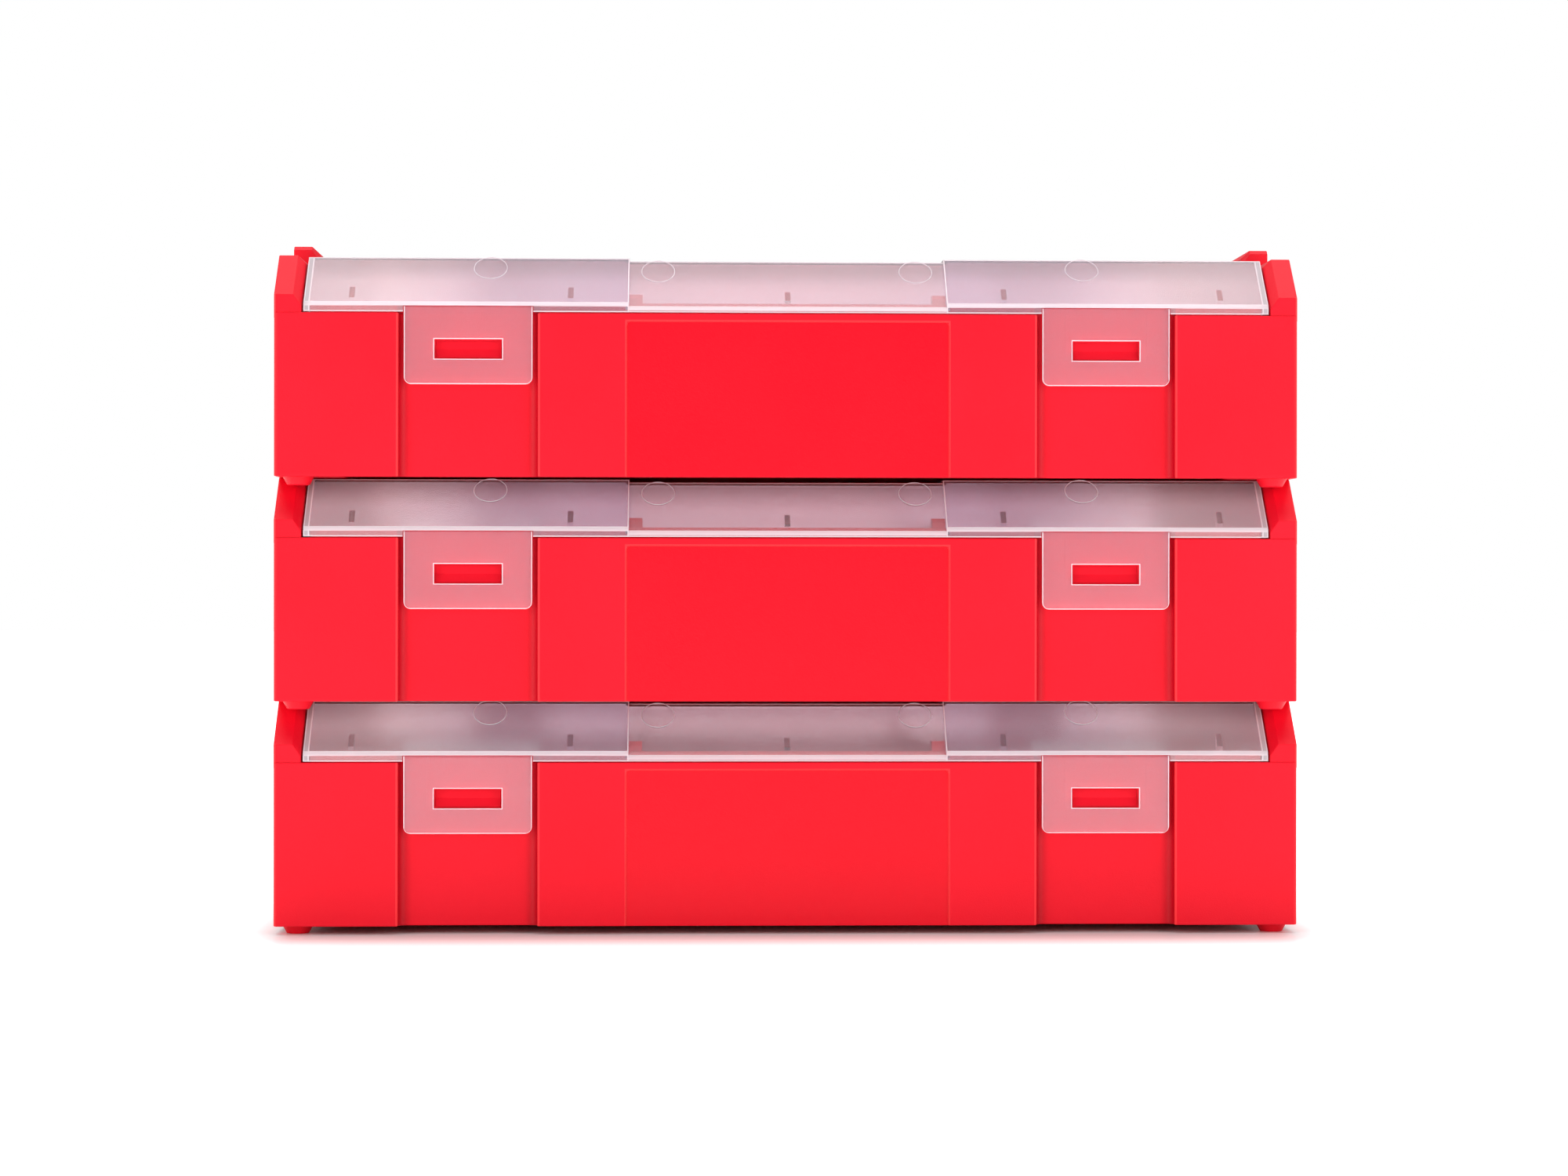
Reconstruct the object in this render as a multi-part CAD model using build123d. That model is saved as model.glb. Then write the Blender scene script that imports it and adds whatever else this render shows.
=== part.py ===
from build123d import *
import os

# Stack of three alike storage bins, in millimetres.
# X runs across the bins, -Y is the front, +Z is up, and the lowest feet stand on Z = 0.

# Whole bin
BIN_NAMES = ("bottom", "middle", "top")
BIN_W = 370.0            # width over the side skirts
BIN_D = 280.0            # depth over the front and rear walls
PITCH = 81.0             # height that each bin adds: skirt edge to rail top
WALL = 2.0               # thickness of the moulded tray wall
CORNER_R = 1.4           # rounding of the upright outer corners

# Feet
FOOT_H = 3.0
FOOT_ROOT_D = 11.3
FOOT_TIP_D = 8.0
FOOT_INSET_X = 8.0       # foot centre from the side
FOOT_INSET_Y = 8.5       # foot centre from the front or rear
FOOT_PAD = 1.0           # how far the pad above a foot reaches past it
FOOT_TIP_R = 0.6

# Tray
LID_RISE = 22.0          # ledge under the lid to rail top
FLOOR_RISE = 1.0         # underside of the floor above the skirt edge
TUB_R = 4.0              # upright inner corners of the tub
RIM_W = 2.0              # thickness of the upstand behind the lid flange
RIM_CLEAR = 0.4          # upstand and posts to the lid above them
REAR_LEDGE = 9.0         # depth of the shelf that carries the hinge lugs

# Stacking rails along both sides
RAIL_W = 9.8
RAIL_CHAMFER = 3.0
RAIL_NOSE = 6.4          # height of the upright rail end above the ledge
RAIL_SET = 0.5           # rail end behind the front panel
RAIL_STEP_H = 8.0        # height of the raised middle length
RAIL_STEP_IN = 61.0      # raised length starts this far from either end
RAIL_STEP_LEAD = 1.5     # bevel on the ends of the raised length
NEST_CLEAR = 0.8         # raised rail to the tub of the next bin
NOTCH_CLEAR = 0.4        # raised rail to the notch in the next skirt

# Front panels
RECESS_X = 115.3         # centre of a latch recess
RECESS_W = 50.2
RECESS_DEPTH = 4.2
RECESS_SOFT_R = 3.0      # soft inner corners of the recess
LABEL_W = 116.8
LABEL_DEPTH = 0.8
LABEL_DROP = 2.7         # top of the label field below the ledge
LABEL_R = 2.3            # upper corners of the field
LABEL_EDGE_R = 0.35      # rounding of its border
EDGE_R = 0.4             # slight rounding of the outer edges

# Lid
LID_T = 1.6
LID_CLEAR = 0.8          # lid edge to rail, each side
LID_TOP_CLEAR = 0.4      # lid top below the rail top
LID_SEAT_CLEAR = 0.4     # lid edges above the ledge
FLANGE_SET = 0.2         # flange face behind the front panel
BEND_H = 3.4             # front bend above the ledge
CENTRE_HALF = 57.5       # half width of the clear centre field
CENTRE_DROP = 1.0        # centre field below the frosted side fields
CENTRE_LAP = 1.2         # how far the centre field runs under the side fields
FRONT_BEND_R = 2.4       # outer radius of the bend above the flange
TOP_BEND_R = 0.8
GUSSET_X = 78.6          # middle gussets from the centre
GUSSET_EDGE = 16.9       # outer gussets from the lid edge
GUSSET_T = 2.0
GUSSET_H = 4.2
DISC_X = (47.0, 108.0)   # boss centres, either side of the centre
DISC_D = 11.3
DISC_T = 0.3
DISC_BELOW_TOP = 3.9     # disc centre below the lid top

# Clasps
CLASP_W = 46.2
CLASP_T = 1.5
CLASP_DROP = 27.3        # pivot to lower edge
CLASP_SIDE_CLEAR = 0.35  # clasp to the cut-out in the flange
CLASP_TOP_CLEAR = 0.2
CLASP_R = 2.6            # lower corners
CLASP_EDGE_R = 0.3       # rounding around the outer face and the slot
PIVOT_H = 1.6            # pivot above the ledge
SLOT_W = 24.4
SLOT_H = 7.1
SLOT_DROP = 14.6         # pivot to the centre of the slot
RELIEF_W = 29.6          # shallow pocket on the inner face
RELIEF_DEPTH = 0.25
CATCH_CLEAR = 0.5        # catch to slot edges
CATCH_GAP = 0.15         # catch crest to the inner face of a resting clasp
CATCH_ROOT = 0.1         # depth of the catch at its upper edge
CATCH_BROW = 0.25        # share of its full depth reached at half its height

# Rear hinge
HINGE_X = 115.0
HINGE_IN = 4.5           # pin centre in front of the rear face
HINGE_H = 4.5            # pin centre above the ledge
LID_TAIL = 1.5           # rear edge of the lid past the pin centre
KNUCKLE_R = 3.2
KNUCKLE_W = 16.0         # lid knuckle
LUG_W = 6.0              # tray lug on each side of it
HINGE_SIDE_GAP = 0.3
KNUCKLE_CLEAR = 0.4
PIN_D = 3.0
PIN_PRESS = 0.02         # pin is this much larger in radius than the lug bore
PIN_RUNNING = 0.06       # pin is this much smaller in radius than the lid bore

# Dividers
LANE_X = 55.0            # centre of a front-to-back divider
DIVIDER_T = 1.5
DIVIDER_RISE = 5.0       # top of the long dividers above the ledge
CROSS_BELOW = 6.0        # guide tops below the top of the long dividers
CROSS_SINK = 0.5         # cross dividers below the guide tops
GROOVE_CLEAR = 0.15
GROOVE_DEPTH = 2.0
POST_W = 4.8
POST_BACK = 13.0         # rear face of a front post behind the front panel
POST_H = 6.8             # post top above the ledge
GUIDE_PITCH = 66.0       # spacing of the cross divider guides
GUIDE_T = 1.2
GUIDE_OUT = 1.6

# Worked out from the sizes above
FRONT = -BIN_D / 2
REAR = BIN_D / 2
SIDE = BIN_W / 2
ROOT2 = 2 ** 0.5
LEDGE_Z = PITCH - LID_RISE
FLOOR_TOP = FLOOR_RISE + WALL
RAIL_IN = SIDE - RAIL_W
TUB_OUT = RAIL_IN - NEST_CLEAR
TUB_IN = TUB_OUT - WALL
LID_HALF = RAIL_IN - LID_CLEAR
LID_TOP = PITCH - LID_TOP_CLEAR
LID_FOOT = LEDGE_Z + LID_SEAT_CLEAR
SLOPE_C = LEDGE_Z + BEND_H - FLANGE_SET      # outer slope: height = depth + SLOPE_C
UNDER_C = SLOPE_C - (LID_T + CENTRE_DROP) * ROOT2
RIM_OUT = RECESS_DEPTH
RIM_IN = RIM_OUT + RIM_W
RIM_TOP = RIM_OUT + UNDER_C - RIM_CLEAR
RECESS_R = min(RECESS_SOFT_R, 0.9 * RECESS_DEPTH)
HINGE_Y = REAR - HINGE_IN
HINGE_Z = LEDGE_Z + HINGE_H
PIVOT_Y = FRONT + FLANGE_SET + LID_T / 2
PIVOT_Z = LEDGE_Z + PIVOT_H
CLASP_IN = PIVOT_Y + CLASP_T / 2
PIN_R = PIN_D / 2
DIVIDER_Z = LEDGE_Z + DIVIDER_RISE
GUIDE_GAP = DIVIDER_T + 2 * GROOVE_CLEAR


def block(x0, x1, y0, y1, z0, z1):
    """Box between two corners."""
    return Pos((x0 + x1) / 2, (y0 + y1) / 2, (z0 + z1) / 2) * Box(x1 - x0, y1 - y0, z1 - z0)


def across(points, x0, x1):
    """Outline in depth and height, run across from x0 to x1."""
    return extrude(Plane.YZ.offset(x0) * make_face(Polyline(*points, close=True)), x1 - x0)


def rod(radius, x0, x1, y, z):
    """Cylinder lying along X."""
    return Pos((x0 + x1) / 2, y, z) * Rot(0, 90, 0) * Cylinder(radius, x1 - x0)


def both_sides(part):
    """A part on the right with its twin on the left."""
    return part + mirror(part, Plane.YZ)


# ---------------------------------------------------------------- tray

def rail_body(inset, foot_z):
    """Right stacking rail, shrunk by inset on every side but its foot."""
    nose = RAIL_SET + inset
    rise = PITCH - (LID_RISE - RAIL_NOSE) - RAIL_SET - inset * ROOT2
    top = PITCH - inset
    raised_top = top + RAIL_STEP_H
    step = RAIL_STEP_IN + inset
    bevel = RAIL_CHAMFER - inset * (2 - ROOT2)
    low = [(FRONT + nose, foot_z), (FRONT + nose, nose + rise), (FRONT + top - rise, top)]
    low += [(-y, z) for y, z in reversed(low)]
    high = [(FRONT + step, foot_z), (FRONT + step, raised_top - RAIL_STEP_LEAD)]
    high += [(FRONT + step + RAIL_STEP_LEAD, raised_top)]
    high += [(-y, z) for y, z in reversed(high)]
    body = Part()
    for outline in (low, high):
        run = across(outline, RAIL_IN + inset, SIDE - inset)
        inner = run.faces().sort_by(Axis.X)[0]
        brow = [e for e in inner.edges() if e.center().Z > foot_z + 1 and abs(e.tangent_at(0.5).Y) > 0.1]
        run = chamfer(brow, bevel)
        if inset == 0:
            run = fillet([e for e in run.edges() if e.center().Z > LEDGE_Z], EDGE_R)
        body += run
    return body


def catch():
    """Wedge that the clasp slot snaps over, on the floor of the right recess."""
    half = SLOT_W / 2 - CATCH_CLEAR
    root = FRONT + RECESS_DEPTH
    crest = CLASP_IN + CATCH_GAP
    upper = PIVOT_Z - SLOT_DROP + SLOT_H / 2 - CATCH_CLEAR
    lower = PIVOT_Z - SLOT_DROP - SLOT_H / 2 + CATCH_CLEAR
    brow = (upper + lower) / 2
    shoulder = root - CATCH_BROW * (root - crest)
    points = [(root + WALL / 2, upper), (root - CATCH_ROOT, upper), (shoulder, brow), (crest, lower)]
    points += [(root + WALL / 2, lower)]
    return across(points, RECESS_X - half, RECESS_X + half)


def foot():
    """Round button foot, root on Z = 0 and tip below it."""
    button = Pos(0, 0, -FOOT_H / 2) * Cone(FOOT_TIP_D / 2, FOOT_ROOT_D / 2, FOOT_H)
    return fillet(button.edges().sort_by(Axis.Z)[0], FOOT_TIP_R)


def front_post():
    """Right post at the front that holds the end of a long divider."""
    top = LEDGE_Z + POST_H
    slope = UNDER_C - RIM_CLEAR
    points = [(WALL / 2, FLOOR_RISE + WALL / 2), (WALL / 2, LEDGE_Z - WALL / 2)]
    points += [(RIM_IN, LEDGE_Z - WALL / 2), (RIM_IN, RIM_IN + slope), (top - slope, top)]
    points += [(POST_BACK, top), (POST_BACK, FLOOR_RISE + WALL / 2)]
    post = across([(FRONT + d, z) for d, z in points], LANE_X - POST_W / 2, LANE_X + POST_W / 2)
    return post - divider_groove(FRONT + POST_BACK - GROOVE_DEPTH, FRONT + POST_BACK + 1)


def rear_post():
    """Right post at the rear, as high as the ledge."""
    body = block(LANE_X - POST_W / 2, LANE_X + POST_W / 2, REAR - POST_BACK, REAR - WALL / 2,
                 FLOOR_RISE + WALL / 2, LEDGE_Z - WALL / 2)
    return body - divider_groove(REAR - POST_BACK - 1, REAR - POST_BACK + GROOVE_DEPTH)


def divider_groove(y0, y1):
    """Room for the end of the right long divider."""
    half = DIVIDER_T / 2 + GROOVE_CLEAR
    return block(LANE_X - half, LANE_X + half, y0, y1, FLOOR_TOP, PITCH)


def guide_pairs(x0, x1, top):
    """Pairs of small ribs that hold the ends of cross dividers."""
    ribs = Part()
    for place in (-GUIDE_PITCH, 0.0, GUIDE_PITCH):
        for way in (-1, 1):
            y = place + way * (GUIDE_GAP + GUIDE_T) / 2
            ribs += block(x0, x1, y - GUIDE_T / 2, y + GUIDE_T / 2, FLOOR_TOP - WALL / 2, top)
    return ribs


def hinge_lugs():
    """Pair of tray lugs for the right hinge."""
    lugs = Part()
    for way in (-1, 1):
        middle = HINGE_X + way * (KNUCKLE_W + LUG_W + 2 * HINGE_SIDE_GAP) / 2
        x0, x1 = middle - LUG_W / 2, middle + LUG_W / 2
        lugs += rod(KNUCKLE_R, x0, x1, HINGE_Y, HINGE_Z)
        lugs += block(x0, x1, HINGE_Y - KNUCKLE_R, HINGE_Y + KNUCKLE_R, LEDGE_Z - WALL / 2, HINGE_Z)
    reach = KNUCKLE_W / 2 + LUG_W + 2 * HINGE_SIDE_GAP
    return lugs - rod(PIN_R - PIN_PRESS, HINGE_X - reach, HINGE_X + reach, HINGE_Y, HINGE_Z)


def tray():
    """Open tray of one bin, with its skirt edge on Z = 0."""
    plan = RectangleRounded(BIN_W, BIN_D, CORNER_R)
    cavity = RectangleRounded(2 * TUB_IN, BIN_D - 2 * WALL, TUB_R)
    for way in (-1, 1):
        place = Pos(way * RECESS_X, FRONT)
        plan -= place * RectangleRounded(RECESS_W, 2 * RECESS_DEPTH, RECESS_R)
        cavity -= place * RectangleRounded(RECESS_W + 2 * WALL, 2 * (RECESS_DEPTH + WALL), RECESS_R + WALL)
    mouths = [v for v in plan.vertices() if abs(v.Y - FRONT) < 0.01 and abs(abs(v.X) - RECESS_X) < RECESS_W]
    body = extrude(fillet(mouths, EDGE_R), LEDGE_Z)
    body = fillet([e for e in body.edges() if abs(e.center().Z - LEDGE_Z / 2) > LEDGE_Z / 4], EDGE_R)
    body -= Pos(0, 0, FLOOR_TOP) * extrude(cavity, LEDGE_Z - WALL - FLOOR_TOP)
    body -= block(-TUB_IN, TUB_IN, FRONT + RIM_IN, REAR - REAR_LEDGE, LEDGE_Z - 2 * WALL, PITCH)

    # The floor stands up from the skirt edge, and the sides are hollow channels open below.
    under = TUB_IN - FOOT_ROOT_D
    body -= block(-under, under, FRONT + RIM_IN, REAR - WALL, -1, FLOOR_RISE)
    pad = FOOT_INSET_Y + FOOT_ROOT_D / 2 + FOOT_PAD
    channel = block(TUB_OUT, SIDE - WALL, FRONT + WALL, REAR - WALL, WALL, LEDGE_Z - WALL)
    channel += block(TUB_OUT, SIDE - WALL, FRONT + pad, REAR - pad, -1, WALL + 1)
    body -= both_sides(channel)

    # Upstand behind the lid flange.
    rim_half = LID_HALF - LID_T - RIM_CLEAR
    body += block(-rim_half, rim_half, FRONT + RIM_OUT, FRONT + RIM_IN, LEDGE_Z - WALL, RIM_TOP)

    # Rails, then the notch in the skirt for the raised rail of the bin below.
    body += both_sides(rail_body(0, LEDGE_Z - WALL))
    body -= both_sides(rail_body(WALL, LEDGE_Z - WALL - 1))
    notch = REAR - RAIL_STEP_IN + NOTCH_CLEAR
    body -= both_sides(block(SIDE - WALL - 1, SIDE + 1, -notch, notch, -1, RAIL_STEP_H + NOTCH_CLEAR))

    # Label field, sunk in the centre panel and open at the lower edge.
    label_top = LEDGE_Z - LABEL_DROP
    label = Pos(0, label_top / 2 - LABEL_R) * RectangleRounded(LABEL_W, label_top + 2 * LABEL_R, LABEL_R)
    body -= extrude(Plane.XZ.offset(-FRONT) * label, -LABEL_DEPTH)
    border = [e for e in body.edges() if abs(e.center().Y - FRONT) < 0.01 and abs(e.center().X) < LABEL_W]
    border = [e for e in border if abs(e.center().X) < LABEL_W / 2 + 0.01 and e.center().Z > EDGE_R + 0.1]
    body = fillet([e for e in border if e.center().Z < label_top + 0.01], LABEL_EDGE_R)

    fittings = catch() + front_post() + rear_post() + hinge_lugs()
    fittings += guide_pairs(TUB_IN - GUIDE_OUT, TUB_IN + WALL / 2, LEDGE_Z - 2 * WALL)
    body += both_sides(fittings)
    for way in (-1, 1):
        for end in (-1, 1):
            body += Pos(way * (SIDE - FOOT_INSET_X), end * (REAR - FOOT_INSET_Y)) * foot()
    return body


# ---------------------------------------------------------------- lid

def lid_sheet(drop, x0, x1):
    """Bent sheet of the lid across one width, lowered by drop."""
    bend = SLOPE_C - drop * ROOT2
    top = LID_TOP - drop
    outer = [(FLANGE_SET, LID_FOOT), (FLANGE_SET, FLANGE_SET + bend), (top - bend, top)]
    tail = HINGE_IN - LID_TAIL
    outer += [(BIN_D - (top - bend), top), (BIN_D - tail, tail + bend)]
    under = bend - LID_T * ROOT2
    inner = [(BIN_D - tail - LID_T / ROOT2, tail + LID_T / ROOT2 + under)]
    inner += [(BIN_D - (top - LID_T - under), top - LID_T), (top - LID_T - under, top - LID_T)]
    inner += [(FLANGE_SET + LID_T, FLANGE_SET + LID_T + under), (FLANGE_SET + LID_T, LID_FOOT)]
    sheet = across([(FRONT + d, z) for d, z in outer + inner], x0, x1)
    return rounded_bends(sheet, FLANGE_SET + bend, top)


def rounded_bends(sheet, front_z, top_z):
    """Rounds the bend above the flange and both bends at the top."""
    lines = sheet.edges().filter_by(Axis.X)
    sheet = fillet([e for e in lines if abs(e.center().Z - front_z) < 0.01 and e.center().Y < 0], FRONT_BEND_R)
    lines = sheet.edges().filter_by(Axis.X)
    return fillet([e for e in lines if abs(e.center().Z - top_z) < 0.01], TOP_BEND_R)


def lid_side():
    """Upright wall that closes the right edge of the lid."""
    tail = HINGE_IN - LID_TAIL
    points = [(FLANGE_SET, LID_FOOT), (FLANGE_SET, FLANGE_SET + SLOPE_C), (LID_TOP - SLOPE_C, LID_TOP)]
    points += [(BIN_D - (LID_TOP - SLOPE_C), LID_TOP), (BIN_D - tail, tail + SLOPE_C)]
    points += [(BIN_D - REAR_LEDGE - LID_T, LID_FOOT)]
    wall = across([(FRONT + d, z) for d, z in points], LID_HALF - LID_T, LID_HALF)
    return rounded_bends(wall, FLANGE_SET + SLOPE_C, LID_TOP)


def gusset(x):
    """Small rib in the front bend."""
    start = RIM_TOP + RIM_CLEAR - UNDER_C
    points = [(start, RIM_TOP + RIM_CLEAR), (start + GUSSET_H, RIM_TOP + RIM_CLEAR)]
    points += [(start + GUSSET_H, start + GUSSET_H + UNDER_C + CENTRE_DROP * ROOT2 + 0.5)]
    points += [(start, start + UNDER_C + CENTRE_DROP * ROOT2 + 0.5)]
    return across([(FRONT + d, z) for d, z in points], x - GUSSET_T / 2, x + GUSSET_T / 2)


def disc(x):
    """Shallow round boss under the front slope."""
    drop = CENTRE_DROP if x < CENTRE_HALF else 0.0
    z = LID_TOP - DISC_BELOW_TOP - drop
    y = FRONT + z - (SLOPE_C - drop * ROOT2)
    slope = Plane(origin=(x, y, z), x_dir=(1, 0, 0), z_dir=(0, 1, -1))
    boss = slope.offset(LID_T / 2) * Circle(DISC_D / 2)
    return extrude(boss, LID_T / 2 + DISC_T)


def lid():
    """Lid of one bin, closed, with its cut-outs for clasps and hinge lugs."""
    body = lid_sheet(CENTRE_DROP, -CENTRE_HALF - CENTRE_LAP, CENTRE_HALF + CENTRE_LAP)
    body += both_sides(lid_sheet(0.0, CENTRE_HALF, LID_HALF) + lid_side())
    body += gusset(0) + both_sides(gusset(GUSSET_X) + gusset(LID_HALF - GUSSET_EDGE))
    for x in DISC_X:
        body += both_sides(disc(x))
    knuckle = rod(KNUCKLE_R, HINGE_X - KNUCKLE_W / 2, HINGE_X + KNUCKLE_W / 2, HINGE_Y, HINGE_Z)
    body += both_sides(knuckle)
    reach = KNUCKLE_W / 2 + LUG_W + 2 * HINGE_SIDE_GAP
    near = KNUCKLE_W / 2
    room = rod(KNUCKLE_R + KNUCKLE_CLEAR, HINGE_X + near, HINGE_X + reach, HINGE_Y, HINGE_Z)
    room += rod(KNUCKLE_R + KNUCKLE_CLEAR, HINGE_X - reach, HINGE_X - near, HINGE_Y, HINGE_Z)
    room += rod(PIN_R + PIN_RUNNING, HINGE_X - reach, HINGE_X + reach, HINGE_Y, HINGE_Z)
    half = CLASP_W / 2 + CLASP_SIDE_CLEAR
    room += block(RECESS_X - half, RECESS_X + half, FRONT - 1, FRONT + RIM_OUT - 1,
                  LEDGE_Z - 1, PIVOT_Z + CLASP_T / 2 + CLASP_TOP_CLEAR)
    return body - both_sides(room)


# ---------------------------------------------------------------- clasps, pins and dividers

def clasp():
    """Right clasp, hanging straight down from its pivot."""
    outer = CLASP_IN - CLASP_T
    plate = Pos(RECESS_X, PIVOT_Z - CLASP_DROP / 2) * Rectangle(CLASP_W, CLASP_DROP)
    lower = plate.vertices().sort_by(Axis.Y)[:2]
    plate = fillet(lower, CLASP_R)
    plate -= Pos(RECESS_X, PIVOT_Z - SLOT_DROP) * Rectangle(SLOT_W, SLOT_H)
    body = extrude(Plane.XZ.offset(-outer) * plate, -CLASP_T)
    face = [e for e in body.edges() if abs(e.center().Y - outer) < 0.01 and e.center().Z < PIVOT_Z - 1]
    body = fillet(face, CLASP_EDGE_R)
    body += rod(CLASP_T / 2, RECESS_X - CLASP_W / 2, RECESS_X + CLASP_W / 2, PIVOT_Y, PIVOT_Z)
    pocket = block(RECESS_X - RELIEF_W / 2, RECESS_X + RELIEF_W / 2, CLASP_IN - RELIEF_DEPTH,
                   CLASP_IN + 1, PIVOT_Z - SLOT_DROP - SLOT_H / 2, PIVOT_Z - CLASP_T)
    return body - pocket


def hinge_pins():
    """Pins of both hinges."""
    half = KNUCKLE_W / 2 + LUG_W + HINGE_SIDE_GAP
    return both_sides(rod(PIN_R, HINGE_X - half, HINGE_X + half, HINGE_Y, HINGE_Z))


def long_divider():
    """Right front-to-back divider, with guide ribs on both faces."""
    end = POST_BACK - GROOVE_DEPTH + GROOVE_CLEAR
    half = DIVIDER_T / 2
    body = block(LANE_X - half, LANE_X + half, FRONT + end, REAR - end, FLOOR_TOP, DIVIDER_Z)
    ribs = guide_pairs(LANE_X - half - GUIDE_OUT, LANE_X + half + GUIDE_OUT, DIVIDER_Z - CROSS_BELOW)
    ribs -= block(LANE_X - SIDE, LANE_X + SIDE, FRONT, REAR, -PITCH, FLOOR_TOP)
    return body + ribs


def cross_dividers():
    """One short divider in each of the three lanes."""
    top = DIVIDER_Z - CROSS_BELOW - CROSS_SINK
    lane = LANE_X - DIVIDER_T / 2 - GROOVE_CLEAR
    near = LANE_X + DIVIDER_T / 2 + GROOVE_CLEAR
    far = TUB_IN - GROOVE_CLEAR
    half = DIVIDER_T / 2
    outer = block(near, far, -half, half, FLOOR_TOP, top)
    return block(-lane, lane, -half, half, FLOOR_TOP, top) + both_sides(outer)


# ---------------------------------------------------------------- the three bins

def bin_pieces():
    """Every piece of one bin, by name."""
    right_clasp = clasp()
    right_divider = long_divider()
    return {
        "tray": tray(),
        "lid": lid(),
        "clasp_left": mirror(right_clasp, Plane.YZ),
        "clasp_right": right_clasp,
        "hinge_pins": hinge_pins(),
        "divider_left": mirror(right_divider, Plane.YZ),
        "divider_right": right_divider,
        "cross_dividers": cross_dividers(),
    }


os.makedirs("parts", exist_ok=True)
pieces = bin_pieces()
for level, name in enumerate(BIN_NAMES):
    for piece, shape in pieces.items():
        export_step(Pos(0, 0, FOOT_H + level * PITCH) * shape, f"parts/{name}_{piece}.step")
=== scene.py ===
"""A stack of three storage bins: red moulded trays, milky hinged lids with clasps, and dividers."""
import math

import bmesh
import bpy
from mathutils import Matrix, Vector


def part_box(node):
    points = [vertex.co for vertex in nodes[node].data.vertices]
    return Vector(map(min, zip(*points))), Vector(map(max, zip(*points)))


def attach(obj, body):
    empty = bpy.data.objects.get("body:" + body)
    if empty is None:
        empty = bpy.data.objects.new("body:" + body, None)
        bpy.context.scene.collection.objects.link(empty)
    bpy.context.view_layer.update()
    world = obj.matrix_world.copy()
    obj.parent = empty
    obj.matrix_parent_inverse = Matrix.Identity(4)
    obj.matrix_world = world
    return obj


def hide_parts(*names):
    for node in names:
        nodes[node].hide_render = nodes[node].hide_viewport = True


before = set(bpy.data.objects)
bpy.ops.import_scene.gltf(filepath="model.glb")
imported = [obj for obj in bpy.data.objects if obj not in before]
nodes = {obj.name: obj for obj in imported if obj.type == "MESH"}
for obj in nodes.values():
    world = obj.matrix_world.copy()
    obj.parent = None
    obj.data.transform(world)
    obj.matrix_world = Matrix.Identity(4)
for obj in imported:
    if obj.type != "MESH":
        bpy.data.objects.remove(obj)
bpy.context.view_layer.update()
levels = ("bottom", "middle", "top")


def arithmetic(tree, kind, value=None, clamp=False):
    """Math node of that kind, with its second input set where a value is given."""
    node = tree.nodes.new("ShaderNodeMath")
    node.operation = kind
    node.use_clamp = clamp
    if value is not None:
        node.inputs[1].default_value = value
    return node


# Camera. It stands a little left of the stack's middle, level, at about half the stack's
# height above the floor, with a long lens, and turns slightly to the right.
eye = Vector((-0.0384, -1.317, 0.125))
aim = Vector((-0.0014, -0.140, 0.125))
lens_mm = 74.87
roll_deg = 0.066

camera_data = bpy.data.cameras.new("studio_camera")
camera_data.lens = lens_mm
camera_data.sensor_width = 36.0
camera_data.clip_start = 0.02
camera_data.clip_end = 60.0
camera = bpy.data.objects.new("studio_camera", camera_data)
bpy.context.scene.collection.objects.link(camera)
look = (aim - eye).to_track_quat("-Z", "Y").to_matrix()
roll = Matrix.Rotation(math.radians(roll_deg), 3, "Z")
camera.matrix_world = Matrix.Translation(eye) @ (look @ roll).to_4x4()
bpy.context.scene.camera = camera


# Floor and room. A white glossy sheet that fades into a plain white room, lit by two large
# soft boxes at the front corners and one overhead, as small goods are usually shown. The fade
# is painted light: the sheet glows by its own emission, from none close around the stack's
# footprint up to full strength a few centimetres away.
floor_half = 8.0
foot_half = (0.175, 0.137, 9.0)
glow_start = 0.004
glow_end = 0.072
side_stretch = 2.0

floor_mesh = bpy.data.meshes.new("floor")
corners = [(-floor_half, -floor_half, 0), (floor_half, -floor_half, 0),
           (floor_half, floor_half, 0), (-floor_half, floor_half, 0)]
floor_mesh.from_pydata(corners, [], [(0, 1, 2, 3)])
floor = bpy.data.objects.new("floor", floor_mesh)
bpy.context.scene.collection.objects.link(floor)

floor_paint = bpy.data.materials.new("white_floor")
floor_paint.use_nodes = True
tree = floor_paint.node_tree
shader = tree.nodes["Principled BSDF"]
shader.inputs["Base Color"].default_value = (0.93, 0.925, 0.93, 1)
shader.inputs["Roughness"].default_value = 0.28
shader.inputs["Specular IOR Level"].default_value = 0.25
shader.inputs["Emission Color"].default_value = (1, 1, 1, 1)
place = tree.nodes.new("ShaderNodeTexCoord")
# Painted light: the floor's own emission, none at the stack's footprint and full further out.
floor_glow = tree.nodes.new("ShaderNodeMapRange")
floor_glow.interpolation_type = "SMOOTHSTEP"
floor_glow.inputs["From Min"].default_value = glow_start
floor_glow.inputs["From Max"].default_value = glow_end
last = place.outputs["Object"]
for kind, amount in (("ABSOLUTE", None), ("SUBTRACT", foot_half), ("MAXIMUM", (0, 0, 0)),
                     ("MULTIPLY", (side_stretch, 1, 1)), ("LENGTH", None)):
    sum_node = tree.nodes.new("ShaderNodeVectorMath")
    sum_node.operation = kind
    if amount:
        sum_node.inputs[1].default_value = amount
    tree.links.new(last, sum_node.inputs[0])
    last = sum_node.outputs["Value" if kind == "LENGTH" else "Vector"]
tree.links.new(last, floor_glow.inputs["Value"])
tree.links.new(floor_glow.outputs["Result"], shader.inputs["Emission Strength"])
floor_mesh.materials.append(floor_paint)

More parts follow.
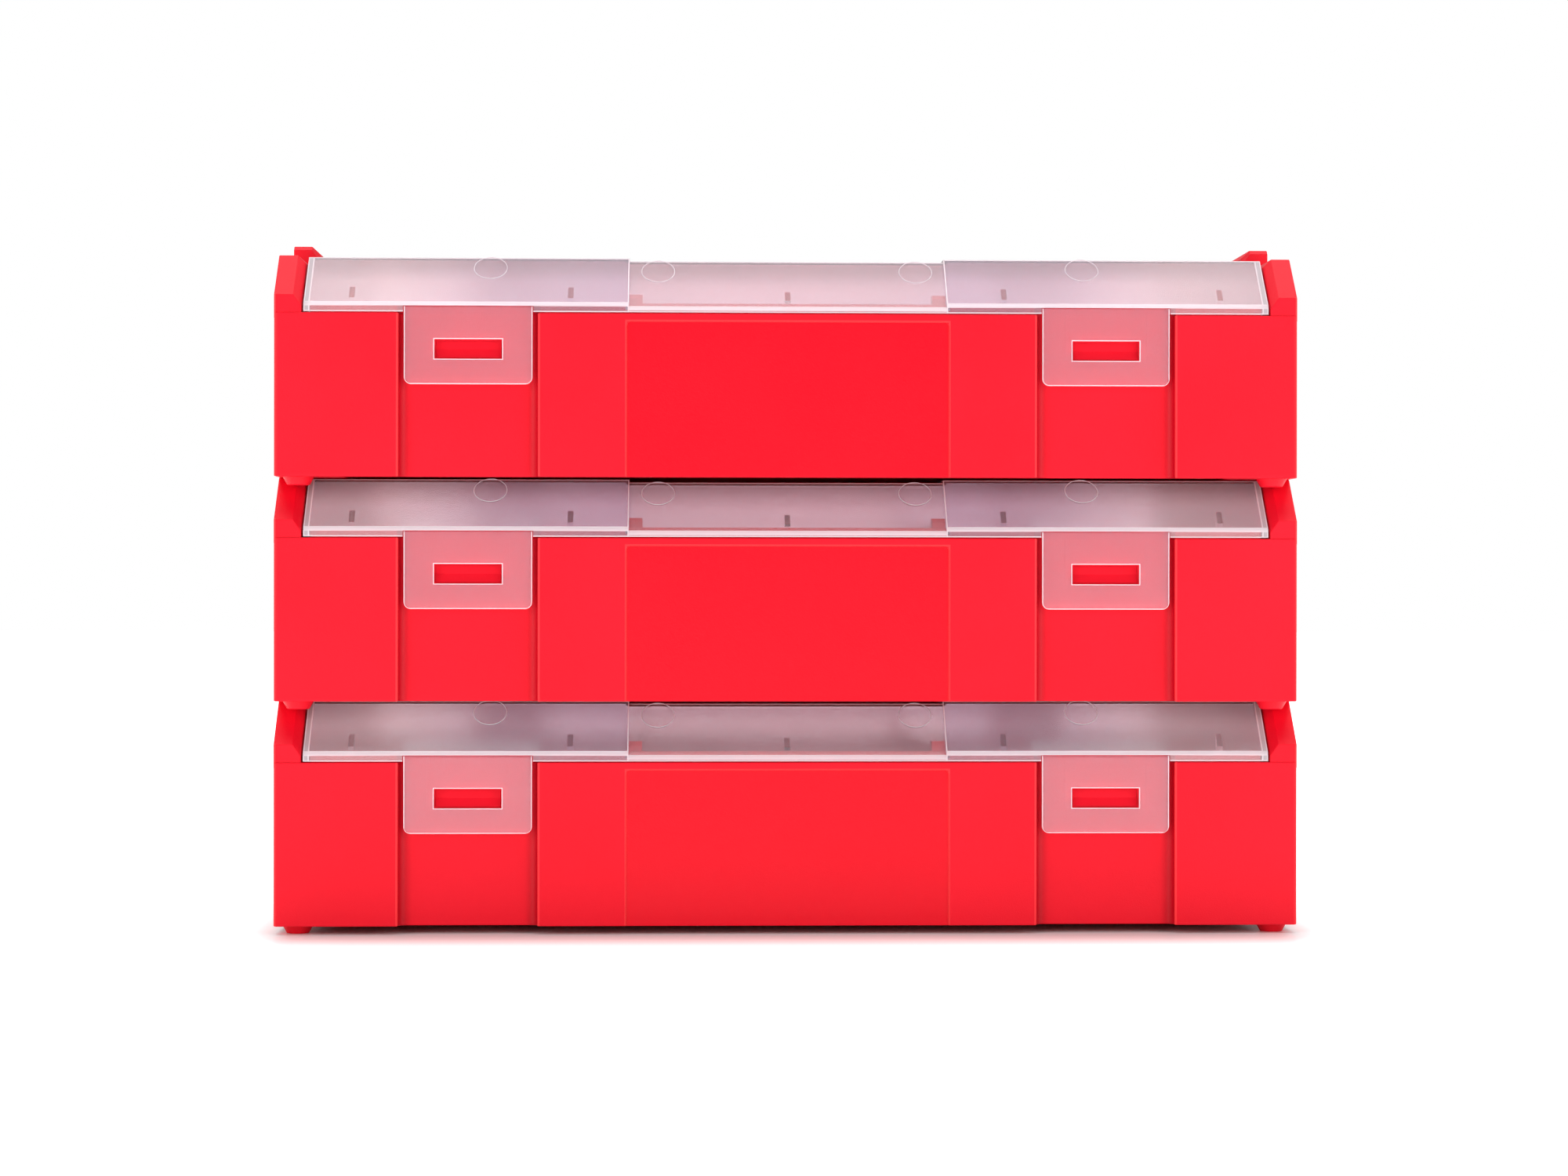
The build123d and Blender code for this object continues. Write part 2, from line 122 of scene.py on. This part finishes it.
world = bpy.data.worlds.new("white_room")
bpy.context.scene.world = world
world.use_nodes = True
tree = world.node_tree
rays = tree.nodes.new("ShaderNodeLightPath")
seen = arithmetic(tree, "MAXIMUM")
way = tree.nodes.new("ShaderNodeTexCoord")
axes = tree.nodes.new("ShaderNodeSeparateXYZ")
room = tree.nodes.new("ShaderNodeMapRange")
room.inputs["From Min"].default_value = -0.9
room.inputs["From Max"].default_value = -0.3
room.inputs["To Min"].default_value = 0.22
room.inputs["To Max"].default_value = 0.5
level = tree.nodes.new("ShaderNodeMix")
level.inputs["B"].default_value = 1.0
tree.links.new(way.outputs["Generated"], axes.inputs["Vector"])
tree.links.new(axes.outputs["Y"], room.inputs["Value"])
tree.links.new(rays.outputs["Is Camera Ray"], seen.inputs[0])
tree.links.new(rays.outputs["Is Transmission Ray"], seen.inputs[1])
tree.links.new(seen.outputs["Value"], level.inputs["Factor"])
tree.links.new(room.outputs["Result"], level.inputs["A"])
tree.links.new(level.outputs["Result"], tree.nodes["Background"].inputs["Strength"])
tree.nodes["Background"].inputs["Color"].default_value = (1, 1, 1, 1)

lamp_target = Vector((0, 0, 0.12))
soft_boxes = (
    ("front_left", (-1.25, -1.45, 0.60), 1.0, 11.0),
    ("front_right", (1.25, -1.45, 0.60), 1.0, 11.0),
    ("overhead", (0.0, 0.25, 1.7), 1.8, 22.0),
)
for name, spot, size, watts in soft_boxes:
    lamp = bpy.data.lights.new(name, "AREA")
    lamp.shape = "SQUARE"
    lamp.size = size
    lamp.energy = watts
    stand = bpy.data.objects.new(name, lamp)
    bpy.context.scene.collection.objects.link(stand)
    stand.location = spot
    aside = lamp_target - Vector(spot)
    stand.rotation_euler = aside.to_track_quat("-Z", "Y").to_euler()
bpy.context.scene.view_settings.view_transform = "Standard"


# Trays. Opaque red polypropylene from a spark-eroded mould: a fine even grain on the outer
# panels, and edges that the tool leaves slightly round.
def moulded_grain():
    """Shader group for the mould's grain: a mottled value and a fine height."""
    group = bpy.data.node_groups.new("moulded_grain", "ShaderNodeTree")
    for title, side, usual in (("Grain size", "INPUT", 0.0004), ("Mottle size", "INPUT", 0.03),
                               ("Height", "OUTPUT", 0.0), ("Mottle", "OUTPUT", 0.0)):
        socket = group.interface.new_socket(title, in_out=side, socket_type="NodeSocketFloat")
        socket.default_value = usual
    start = group.nodes.new("NodeGroupInput")
    end = group.nodes.new("NodeGroupOutput")
    spot = group.nodes.new("ShaderNodeTexCoord")
    for size, out, detail in (("Grain size", "Height", 2.0), ("Mottle size", "Mottle", 3.0)):
        scale = arithmetic(group, "DIVIDE")
        scale.inputs[0].default_value = 1.0
        noise = group.nodes.new("ShaderNodeTexNoise")
        noise.inputs["Detail"].default_value = detail
        group.links.new(start.outputs[size], scale.inputs[1])
        group.links.new(spot.outputs["Object"], noise.inputs["Vector"])
        group.links.new(scale.outputs["Value"], noise.inputs["Scale"])
        group.links.new(noise.outputs["Fac"], end.inputs[out])
    return group


grain = moulded_grain()


def label_patch(pitch, foot, front):
    """Shader group that is 1 on a patch in the middle of every front, and 0 elsewhere."""
    group = bpy.data.node_groups.new("label_field", "ShaderNodeTree")
    group.interface.new_socket("Half width", in_out="INPUT", socket_type="NodeSocketFloat")
    group.interface.new_socket("Height", in_out="INPUT", socket_type="NodeSocketFloat")
    start = group.nodes.new("NodeGroupInput")
    group.interface.new_socket("Field", in_out="OUTPUT", socket_type="NodeSocketFloat")
    end = group.nodes.new("NodeGroupOutput")
    spot = group.nodes.new("ShaderNodeTexCoord")
    axes = group.nodes.new("ShaderNodeSeparateXYZ")
    steps = {}
    for step, kind, value in (("side", "ABSOLUTE", None), ("narrow", "LESS_THAN", None),
                              ("raise", "SUBTRACT", foot), ("level", "MODULO", pitch),
                              ("low", "LESS_THAN", None), ("front", "LESS_THAN", front),
                              ("both", "MULTIPLY", None), ("all", "MULTIPLY", None)):
        steps[step] = arithmetic(group, kind, value)
    link = group.links.new
    link(spot.outputs["Object"], axes.inputs["Vector"])
    link(start.outputs["Half width"], steps["narrow"].inputs[1])
    link(start.outputs["Height"], steps["low"].inputs[1])
    link(axes.outputs["X"], steps["side"].inputs[0])
    link(steps["side"].outputs[0], steps["narrow"].inputs[0])
    link(axes.outputs["Z"], steps["raise"].inputs[0])
    link(steps["raise"].outputs[0], steps["level"].inputs[0])
    link(steps["level"].outputs[0], steps["low"].inputs[0])
    link(axes.outputs["Y"], steps["front"].inputs[0])
    link(steps["narrow"].outputs[0], steps["both"].inputs[0])
    link(steps["low"].outputs[0], steps["both"].inputs[1])
    link(steps["both"].outputs[0], steps["all"].inputs[0])
    link(steps["front"].outputs[0], steps["all"].inputs[1])
    link(steps["all"].outputs[0], end.inputs["Field"])
    return group


label_field = label_patch(pitch=0.081, foot=0.003, front=-0.136)
label_half, label_high, label_highlight_width = 0.0581, 0.0560, 0.0007


edge_places = (0.0898, 0.1408, 0.1847)
edge_half = 0.0004
panel_front = -0.1390
recess_x, recess_half = 0.1153, 0.0251
recess_y, recess_y_half = -0.1366, 0.0026
shade_start, shade_full, shade_end = -0.0052, 0.0002, 0.0006


def paint_panel_light():
    """Shader group of painted light: Edge is 1 along the upright panel edges, where a highlight is
    painted, and Corner is the recess corners, where shade is painted.
    """
    group = bpy.data.node_groups.new("panel_painted_light", "ShaderNodeTree")
    group.interface.new_socket("Edge", in_out="OUTPUT", socket_type="NodeSocketFloat")
    group.interface.new_socket("Corner", in_out="OUTPUT", socket_type="NodeSocketFloat")
    end = group.nodes.new("NodeGroupOutput")
    spot = group.nodes.new("ShaderNodeTexCoord")
    axes = group.nodes.new("ShaderNodeSeparateXYZ")
    side = arithmetic(group, "ABSOLUTE")
    front = arithmetic(group, "LESS_THAN", panel_front)
    link = group.links.new
    link(spot.outputs["Object"], axes.inputs["Vector"])
    link(axes.outputs["X"], side.inputs[0])
    link(axes.outputs["Y"], front.inputs[0])
    total = None
    # Painted highlight along the upright panel edges.
    for place in edge_places:
        near = arithmetic(group, "COMPARE", place)
        near.inputs[2].default_value = edge_half
        link(side.outputs[0], near.inputs[0])
        if total:
            both = arithmetic(group, "MAXIMUM")
            link(total, both.inputs[0])
            link(near.outputs[0], both.inputs[1])
            near = both
        total = near.outputs[0]
    mask = arithmetic(group, "MULTIPLY")
    link(total, mask.inputs[0])
    link(front.outputs[0], mask.inputs[1])
    link(mask.outputs[0], end.inputs["Edge"])

    # Corner: painted shade in the inner corners of the clasp recesses, soft towards the middle.
    off = arithmetic(group, "SUBTRACT", recess_x)
    apart = arithmetic(group, "ABSOLUTE")
    soft = group.nodes.new("ShaderNodeMapRange")
    soft.interpolation_type = "SMOOTHSTEP"
    soft.inputs["From Min"].default_value = recess_half + shade_start
    soft.inputs["From Max"].default_value = recess_half + shade_full
    sunk = arithmetic(group, "COMPARE", recess_y)
    sunk.inputs[2].default_value = recess_y_half
    within = arithmetic(group, "LESS_THAN", recess_half + shade_end)
    deep = arithmetic(group, "MULTIPLY")
    inside = arithmetic(group, "MULTIPLY")
    link(side.outputs[0], off.inputs[0])
    link(off.outputs[0], apart.inputs[0])
    link(apart.outputs[0], soft.inputs["Value"])
    link(apart.outputs[0], within.inputs[0])
    link(axes.outputs["Y"], sunk.inputs[0])
    link(soft.outputs["Result"], deep.inputs[0])
    link(sunk.outputs[0], deep.inputs[1])
    link(deep.outputs[0], inside.inputs[0])
    link(within.outputs[0], inside.inputs[1])
    link(inside.outputs[0], end.inputs["Corner"])
    return group


panel_painted_light = paint_panel_light()
deep_red, light_red = (0.75, 0.001, 0.013, 1), (0.81, 0.004, 0.020, 1)
# The edge red is a painted highlight, and the corner red a painted shade.
edge_highlight_red, corner_shade_red = (0.95, 0.045, 0.05, 1), (0.46, 0.0, 0.009, 1)


def red_mix(tree, high, low=None):
    """Colour mix towards the high colour, from the low one or from what is linked in."""
    mix = tree.nodes.new("ShaderNodeMix")
    mix.data_type = "RGBA"
    if low:
        mix.inputs["A"].default_value = low
    mix.inputs["B"].default_value = high
    return mix


def red_plastic(name, rough_low, rough_high, grain_mm, grain_depth, panelled=False):
    """Red polypropylene with a mould grain and slightly round edges.

    A panelled one has a polished label field that is painted a little darker as shade, a painted
    highlight line around that field and along the upright panel edges, and painted shade in the
    recess corners.
    """
    paint = bpy.data.materials.new(name)
    paint.use_nodes = True
    tree = paint.node_tree
    link = tree.links.new
    shader = tree.nodes["Principled BSDF"]
    shader.inputs["Specular IOR Level"].default_value = 0.2
    skin = tree.nodes.new("ShaderNodeGroup")
    skin.node_tree = grain
    skin.inputs["Grain size"].default_value = grain_mm / 1000
    skin.inputs["Mottle size"].default_value = 0.05
    colour = red_mix(tree, light_red, deep_red)
    rough = tree.nodes.new("ShaderNodeMapRange")
    rough.inputs["To Min"].default_value = rough_low
    rough.inputs["To Max"].default_value = rough_high
    edge = tree.nodes.new("ShaderNodeBevel")
    edge.samples = 4
    edge.inputs["Radius"].default_value = 0.00035
    bump = tree.nodes.new("ShaderNodeBump")
    bump.inputs["Distance"].default_value = grain_depth
    bump.inputs["Strength"].default_value = 0.6
    link(skin.outputs["Mottle"], rough.inputs["Value"])
    link(skin.outputs["Height"], bump.inputs["Height"])
    link(edge.outputs["Normal"], bump.inputs["Normal"])
    link(bump.outputs["Normal"], shader.inputs["Normal"])
    if not panelled:
        link(skin.outputs["Mottle"], colour.inputs["Factor"])
        link(colour.outputs["Result"], shader.inputs["Base Color"])
        link(rough.outputs["Result"], shader.inputs["Roughness"])
        return paint

    label_polish_and_shade, around = tree.nodes.new("ShaderNodeGroup"), tree.nodes.new("ShaderNodeGroup")
    for patch, more in ((label_polish_and_shade, 0.0), (around, label_highlight_width)):
        patch.node_tree = label_field
        patch.inputs["Half width"].default_value = label_half + more
        patch.inputs["Height"].default_value = label_high + more
    lines = tree.nodes.new("ShaderNodeGroup")
    lines.node_tree = panel_painted_light
    tint = arithmetic(tree, "MULTIPLY_ADD", -1.0, clamp=True)
    polish = arithmetic(tree, "MULTIPLY_ADD", -0.14)
    # Painted highlight: a light red line around the label field and along the upright panel edges.
    label_outline_highlight = arithmetic(tree, "SUBTRACT", clamp=True)
    highlight_lines = arithmetic(tree, "MAXIMUM")
    highlight_amount = arithmetic(tree, "MULTIPLY", 0.6)
    # Painted shade: the recess corners are mixed towards the dark corner red.
    corner_shade_amount = arithmetic(tree, "MULTIPLY", 0.9)
    corner_shaded, highlighted = red_mix(tree, corner_shade_red), red_mix(tree, edge_highlight_red)
    # Painted shade: the label field takes the deep red, and its roughness is lowered too.
    link(label_polish_and_shade.outputs["Field"], tint.inputs[0])
    link(skin.outputs["Mottle"], tint.inputs[2])
    link(tint.outputs["Value"], colour.inputs["Factor"])
    link(label_polish_and_shade.outputs["Field"], polish.inputs[0])
    link(rough.outputs["Result"], polish.inputs[2])
    link(around.outputs["Field"], label_outline_highlight.inputs[0])
    link(label_polish_and_shade.outputs["Field"], label_outline_highlight.inputs[1])
    link(label_outline_highlight.outputs["Value"], highlight_lines.inputs[0])
    link(lines.outputs["Edge"], highlight_lines.inputs[1])
    link(highlight_lines.outputs["Value"], highlight_amount.inputs[0])
    link(highlight_amount.outputs["Value"], highlighted.inputs["Factor"])
    link(lines.outputs["Corner"], corner_shade_amount.inputs[0])
    link(corner_shade_amount.outputs["Value"], corner_shaded.inputs["Factor"])
    link(colour.outputs["Result"], corner_shaded.inputs["A"])
    link(corner_shaded.outputs["Result"], highlighted.inputs["A"])
    link(highlighted.outputs["Result"], shader.inputs["Base Color"])
    link(polish.outputs["Value"], shader.inputs["Roughness"])
    return paint


tray_red = red_plastic("tray_red", 0.40, 0.52, 0.45, 0.00009, panelled=True)
for name in levels:
    nodes[f"{name}_tray"].data.materials.clear()
    nodes[f"{name}_tray"].data.materials.append(tray_red)


# Dividers and hinge pins. The same red material with a smoother face.
divider_red = red_plastic("divider_red", 0.30, 0.42, 0.6, 0.00001)
for name in levels:
    for piece in ("divider_left", "divider_right", "cross_dividers", "hinge_pins"):
        nodes[f"{name}_{piece}"].data.materials.clear()
        nodes[f"{name}_{piece}"].data.materials.append(divider_red)


# Lids. One sheet of natural polypropylene each, frosted on the side fields and polished on the
# centre field. Along its edges, bends and steps, where it is thickest, and on its side walls it
# is milkier and paler, which also paints the bright highlight lines that these edges catch.
step_x = 0.0575
centre_drop = 0.0010
edge_line = 0.0004
wall_line = 0.0021
field_reach = 0.175
slope_foot_y, slope_head_y, slope_end_y = -0.1310, -0.1232, -0.1212
bend_rise = 0.0030
sharp_deg = 32


def clear_plastic(name, stops, slope_painted_shade, polished, frosted, polished_half, passes):
    """Translucent polypropylene, polished within that half width and frosted outside it.

    Its colour runs through the stops from the middle outwards, and painted shade darkens it
    towards the top of the front slope; the flat top behind is not shaded.
    """
    paint = bpy.data.materials.new(name)
    paint.use_nodes = True
    tree = paint.node_tree
    shader = tree.nodes["Principled BSDF"]
    shader.inputs["IOR"].default_value = 1.49
    shader.inputs["Transmission Weight"].default_value = passes
    skin = tree.nodes.new("ShaderNodeGroup")
    skin.node_tree = grain
    skin.inputs["Mottle size"].default_value = 0.04
    tint = tree.nodes.new("ShaderNodeValToRGB")
    while len(tint.color_ramp.elements) < len(stops):
        tint.color_ramp.elements.new(1.0)
    for stop, (spot, colour) in zip(tint.color_ramp.elements, stops):
        stop.position = spot
        stop.color = (*colour, 1)
    outwards = arithmetic(tree, "MULTIPLY", 1 / field_reach)
    # Painted shade: the front slope grows darker towards its top.
    shade = tree.nodes.new("ShaderNodeMapRange")
    shade.inputs["From Min"].default_value = slope_foot_y
    shade.inputs["From Max"].default_value = slope_head_y
    shade.inputs["To Min"].default_value = 1.0
    shade.inputs["To Max"].default_value = slope_painted_shade
    behind = arithmetic(tree, "GREATER_THAN", slope_end_y)
    slope_only = tree.nodes.new("ShaderNodeMix")
    slope_only.inputs["B"].default_value = 1.0
    cloud = tree.nodes.new("ShaderNodeMapRange")
    cloud.inputs["To Min"].default_value = 0.96
    cloud.inputs["To Max"].default_value = 1.04
    shade_and_mottle = arithmetic(tree, "MULTIPLY")
    shaded = tree.nodes.new("ShaderNodeVectorMath")
    shaded.operation = "SCALE"
    place = tree.nodes.new("ShaderNodeTexCoord")
    axes = tree.nodes.new("ShaderNodeSeparateXYZ")
    across = arithmetic(tree, "ABSOLUTE")
    outside = arithmetic(tree, "GREATER_THAN", polished_half)
    base = tree.nodes.new("ShaderNodeMix")
    base.inputs["A"].default_value = polished
    base.inputs["B"].default_value = frosted
    rough = arithmetic(tree, "MULTIPLY_ADD", 0.05)
    tree.links.new(place.outputs["Object"], axes.inputs["Vector"])
    tree.links.new(axes.outputs["X"], across.inputs[0])
    tree.links.new(across.outputs["Value"], outside.inputs[0])
    tree.links.new(outside.outputs["Value"], base.inputs["Factor"])
    tree.links.new(across.outputs["Value"], outwards.inputs[0])
    tree.links.new(outwards.outputs["Value"], tint.inputs["Fac"])
    tree.links.new(axes.outputs["Y"], shade.inputs["Value"])
    tree.links.new(axes.outputs["Y"], behind.inputs[0])
    tree.links.new(behind.outputs["Value"], slope_only.inputs["Factor"])
    tree.links.new(shade.outputs["Result"], slope_only.inputs["A"])
    tree.links.new(skin.outputs["Mottle"], cloud.inputs["Value"])
    tree.links.new(slope_only.outputs["Result"], shade_and_mottle.inputs[0])
    tree.links.new(cloud.outputs["Result"], shade_and_mottle.inputs[1])
    tree.links.new(tint.outputs["Color"], shaded.inputs[0])
    tree.links.new(shade_and_mottle.outputs["Value"], shaded.inputs["Scale"])
    tree.links.new(skin.outputs["Mottle"], rough.inputs[0])
    tree.links.new(base.outputs["Result"], rough.inputs[2])
    tree.links.new(shaded.outputs["Vector"], shader.inputs["Base Color"])
    tree.links.new(rough.outputs["Value"], shader.inputs["Roughness"])
    return paint


def finished_copy(node, name, cuts, finish_of, finishes):
    """Copy of a CAD node cut along planes, with a finish chosen for each face."""
    shell = bmesh.new()
    shell.from_mesh(node.data)
    bmesh.ops.remove_doubles(shell, verts=shell.verts, dist=1e-6)
    for axis, value in cuts:
        point, normal = Vector((0, 0, 0)), Vector((0, 0, 0))
        point["xyz".index(axis)] = value
        normal["xyz".index(axis)] = 1.0
        whole = shell.verts[:] + shell.edges[:] + shell.faces[:]
        bmesh.ops.bisect_plane(shell, geom=whole, dist=1e-6, plane_co=point, plane_no=normal)
    shell.normal_update()
    for face in shell.faces:
        face.material_index = finish_of(face.calc_center_median(), face.normal)
    mesh = bpy.data.meshes.new(name)
    shell.to_mesh(mesh)
    shell.free()
    mesh.set_sharp_from_angle(angle=math.radians(sharp_deg))
    for face in mesh.polygons:
        square_on = max(abs(part) for part in face.normal) > 0.9995
        across, along, up = (abs(part) for part in face.normal)
        on_slope = abs(along - up) < 0.004 and across < 0.01
        face.use_smooth = not (square_on or on_slope)
    for finish in finishes:
        mesh.materials.append(finish)
    piece = bpy.data.objects.new(name, mesh)
    bpy.context.scene.collection.objects.link(piece)
    return piece


side_stops = ((0.0, (0.91, 0.72, 0.79)), (0.325, (0.89, 0.71, 0.78)),
              (0.333, (0.81, 0.65, 0.77)), (0.60, (0.83, 0.67, 0.77)),
              (0.82, (1.0, 0.84, 0.89)))
pale_stops = ((0.0, (0.93, 0.80, 0.86)), (1.0, (0.95, 0.83, 0.88)))
lid_clear = clear_plastic("lid_clear", side_stops, 0.74, 0.13, 0.15, step_x, 0.84)
lid_wall = clear_plastic("lid_wall", pale_stops, 0.95, 0.14, 0.16, step_x, 0.60)
lid_milky_highlight = clear_plastic("lid_milky_highlight", pale_stops, 1.0, 0.14, 0.16, step_x, 0.40)

for name in levels:
    low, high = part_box(f"{name}_lid")
    cuts = [("x", side * far) for side in (-1, 1)
            for far in (high[0] - edge_line, high[0] - wall_line, high[0] - wall_line + edge_line,
                        step_x, step_x + edge_line)]
    cuts += [("z", high[2] - edge_line), ("z", high[2] - centre_drop - edge_line),
             ("z", low[2] + edge_line)]

    # Finish 2 is the milky one that paints a highlight on rims, steps, bends and edge lines.
    def lid_finish(centre, normal):
        """2 on rims, steps, bends and edge lines, 1 on the side walls, and 0 elsewhere."""
        side = abs(centre.x)
        drop = centre_drop if side < step_x else 0.0
        rim = side > high[0] - edge_line or step_x < side < step_x + edge_line
        wall = high[0] - wall_line < side < high[0] - wall_line + edge_line
        bend = normal.y < -0.71 and 0.03 < normal.z < 0.69
        brow = normal.y < -0.1 and centre.z > high[2] - drop - edge_line
        foot = normal.y < -0.9 and centre.z < low[2] + edge_line
        if rim or wall or bend or brow or foot:
            return 2
        return 1 if side > high[0] - wall_line else 0

    lid_piece = finished_copy(nodes[f"{name}_lid"], f"{name}_lid_sheet", cuts, lid_finish,
                              (lid_clear, lid_wall, lid_milky_highlight))
    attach(lid_piece, f"{name}_lid")
    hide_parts(f"{name}_lid")


# Moulded rings. Thin round outlines around the shallow bosses of each front slope, where the
# ejector pins of the mould pressed. They are part of the lid moulding.
ring_x = (0.047, 0.108)
ring_radius = 0.0060
ring_wire = 0.00015
ring_below_top = 0.0041


def ring_tree(finish):
    """Geometry Nodes: a thin ring, tilted with the slope, on every point."""
    tree = bpy.data.node_groups.new("moulded_rings", "GeometryNodeTree")
    tree.interface.new_socket("Places", in_out="INPUT", socket_type="NodeSocketGeometry")
    for title in ("Ring radius", "Wire radius", "Tilt"):
        tree.interface.new_socket(title, in_out="INPUT", socket_type="NodeSocketFloat")
    tree.interface.new_socket("Rings", in_out="OUTPUT", socket_type="NodeSocketGeometry")
    start, end = tree.nodes.new("NodeGroupInput"), tree.nodes.new("NodeGroupOutput")
    line = tree.nodes.new("GeometryNodeCurvePrimitiveCircle")
    line.inputs["Resolution"].default_value = 48
    section = tree.nodes.new("GeometryNodeCurvePrimitiveCircle")
    section.inputs["Resolution"].default_value = 8
    wire = tree.nodes.new("GeometryNodeCurveToMesh")
    turn = tree.nodes.new("ShaderNodeCombineXYZ")
    copies = tree.nodes.new("GeometryNodeInstanceOnPoints")
    real = tree.nodes.new("GeometryNodeRealizeInstances")
    coat = tree.nodes.new("GeometryNodeSetMaterial")
    coat.inputs["Material"].default_value = finish
    link = tree.links.new
    link(start.outputs["Ring radius"], line.inputs["Radius"])
    link(start.outputs["Wire radius"], section.inputs["Radius"])
    link(line.outputs["Curve"], wire.inputs["Curve"])
    link(section.outputs["Curve"], wire.inputs["Profile Curve"])
    link(start.outputs["Tilt"], turn.inputs["X"])
    link(start.outputs["Places"], copies.inputs["Points"])
    link(wire.outputs["Mesh"], copies.inputs["Instance"])
    link(turn.outputs["Vector"], copies.inputs["Rotation"])
    link(copies.outputs["Instances"], real.inputs["Geometry"])
    link(real.outputs["Geometry"], coat.inputs["Geometry"])
    link(coat.outputs["Geometry"], end.inputs["Rings"])
    return tree


# The rings take the milky finish, which paints them as bright highlight outlines.
rings = ring_tree(lid_milky_highlight)
for name in levels:
    low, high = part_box(f"{name}_lid")
    slope_foot = low[2] + bend_rise
    places = []
    for x in ring_x:
        drop = centre_drop if x < step_x else 0.0
        z = high[2] - ring_below_top - drop
        y = low[1] + (z - slope_foot) + drop * math.sqrt(2)
        places += [(x, y, z), (-x, y, z)]
    seed = bpy.data.meshes.new(f"{name}_ring_places")
    seed.from_pydata(places, [], [])
    maker = bpy.data.objects.new(f"{name}_ring_maker", seed)
    bpy.context.scene.collection.objects.link(maker)
    grow = maker.modifiers.new("rings", "NODES")
    grow.node_group = rings
    sizes = {"Ring radius": ring_radius, "Wire radius": ring_wire, "Tilt": math.radians(45)}
    for socket in rings.interface.items_tree:
        if socket.in_out == "INPUT" and socket.name in sizes:
            grow[socket.identifier] = sizes[socket.name]
    bpy.context.view_layer.update()
    seen_as = maker.evaluated_get(bpy.context.evaluated_depsgraph_get())
    mesh = bpy.data.meshes.new_from_object(seen_as)
    mesh.name = f"{name}_lid_rings"
    for face in mesh.polygons:
        face.use_smooth = True
    bpy.data.objects.remove(maker)
    ring_piece = bpy.data.objects.new(f"{name}_lid_rings", mesh)
    bpy.context.scene.collection.objects.link(ring_piece)
    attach(ring_piece, f"{name}_lid")


# Clasps. Flat tongues of the lid's own plastic that hang over the front, each with a slot that
# snaps over the tray's catch. Their outline and the slot's rim are milkier and paler: painted
# highlight lines.
clasp_rim = 0.00032
slot_half = (0.0122, 0.00355)
roller = 0.00075
slot_drop = 0.0146

tongue_stops = ((0.0, (0.99, 0.79, 0.90)), (1.0, (1.0, 0.81, 0.92)))
line_stops = ((0.0, (0.96, 0.80, 0.86)), (1.0, (0.97, 0.82, 0.87)))
clasp_clear = clear_plastic("clasp_clear", tongue_stops, 1.0, 0.15, 0.15, 1.0, 0.90)
clasp_milky_highlight = clear_plastic("clasp_milky_highlight", line_stops, 1.0, 0.16, 0.16, 1.0, 0.30)

for name in levels:
    for side in ("left", "right"):
        low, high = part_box(f"{name}_clasp_{side}")
        middle = (low[0] + high[0]) / 2
        slot_z = high[2] - roller - slot_drop
        reach_x, reach_z = slot_half[0] + clasp_rim, slot_half[1] + clasp_rim
        cuts = [("x", low[0] + clasp_rim), ("x", high[0] - clasp_rim), ("x", middle - reach_x),
                ("x", middle + reach_x), ("z", low[2] + clasp_rim), ("z", slot_z - reach_z),
                ("z", slot_z + reach_z)]

        # Finish 1 is the milky one that paints the highlight on the outline and the slot's rim.
        def clasp_finish(centre, normal):
            """1 on the outline of the tongue and of its slot, and 0 elsewhere."""
            off = abs(centre.x - middle)
            outline = off > (high[0] - low[0]) / 2 - clasp_rim or centre.z < low[2] + clasp_rim
            slot = off < reach_x and abs(centre.z - slot_z) < reach_z
            rounded = abs(normal.y) < 0.97 and centre.z < high[2] - 2 * roller
            return 1 if outline or slot or rounded else 0

        clasp_piece = finished_copy(nodes[f"{name}_clasp_{side}"], f"{name}_clasp_{side}_tongue",
                                    cuts, clasp_finish, (clasp_clear, clasp_milky_highlight))
        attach(clasp_piece, f"{name}_clasp_{side}")
        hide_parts(f"{name}_clasp_{side}")
